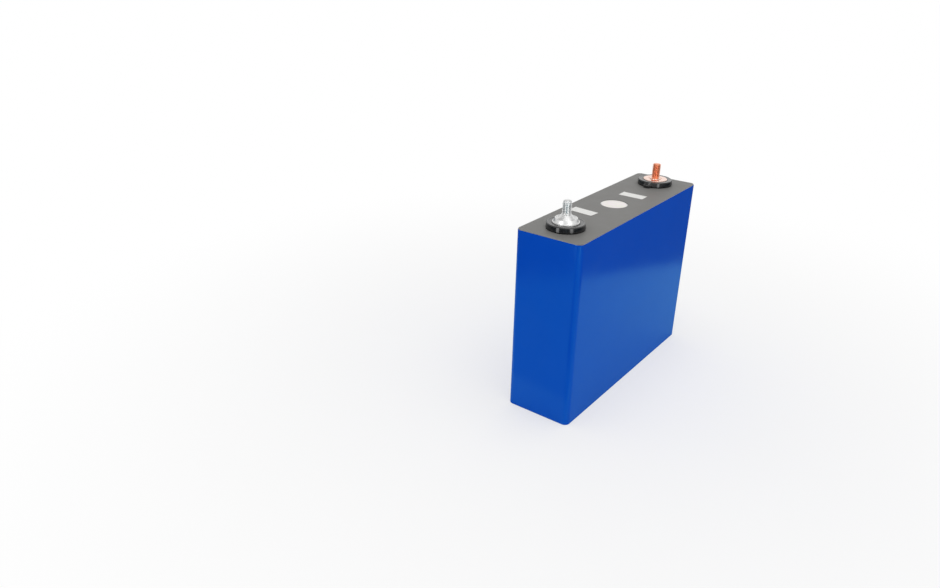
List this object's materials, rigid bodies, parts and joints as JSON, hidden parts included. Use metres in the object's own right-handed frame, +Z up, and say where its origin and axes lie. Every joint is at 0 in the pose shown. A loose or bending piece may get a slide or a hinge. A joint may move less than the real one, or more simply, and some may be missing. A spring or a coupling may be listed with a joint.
{
  "type": "prismatic battery cell",
  "caption": "Rectangular lithium battery cell in blue film with a grey top, a central vent and a threaded stud in a black ring at each end.",
  "frame": {"origin": "centre of the bottom face that the cell stands on", "axes": "+X along the cell towards the copper (negative) stud, +Y across its thickness, +Z up through the studs"},
  "size_m": [0.174, 0.048, 0.1485],
  "materials": {
    "blue_film": "glossy blue polyester film",
    "can_aluminium": "satin drawn aluminium",
    "grey_film": "matt grey insulating film",
    "white_film": "satin white protective film",
    "label_paper": "matt white label",
    "ring_plastic": "glossy black moulded plastic",
    "seal_rubber": "matt black rubber",
    "terminal_aluminium": "bright turned aluminium",
    "copper": "bare turned copper",
    "insulator_plastic": "moulded black polypropylene",
    "foil_aluminium": "welded foil stack",
    "foil_copper": "welded foil stack",
    "separator": "white separator film round the winding",
    "core_tape": "blue polyester tape",
    "bag_film": "clear-green polyester film"
  },
  "bodies": {
    "root": {"film_wrap": "blue_film", "can": "can_aluminium", "cover_plate": "can_aluminium", "top_film": "grey_film", "vent_film": "white_film", "burst_disc": "can_aluminium", "label_negative_end": "label_paper", "label_positive_end": "label_paper", "fill_seal": "seal_rubber", "fill_cap": "can_aluminium", "positive_ring": "ring_plastic", "negative_ring": "ring_plastic", "positive_seal": "seal_rubber", "negative_seal": "seal_rubber", "positive_post": "terminal_aluminium", "negative_post": "copper", "positive_terminal": "terminal_aluminium", "negative_terminal": "copper", "positive_stud": "terminal_aluminium", "negative_stud": "copper", "positive_lower_insulator": "insulator_plastic", "negative_lower_insulator": "insulator_plastic", "positive_collector": "terminal_aluminium", "negative_collector": "copper", "positive_tabs": "foil_aluminium", "negative_tabs": "foil_copper", "electrode_core_1": "separator", "electrode_core_2": "separator", "electrode_core_3": "separator", "electrode_core_4": "separator", "core_tapes": "core_tape", "inner_bag": "bag_film", "support_plate": "insulator_plastic"}
  },
  "joints": []
}
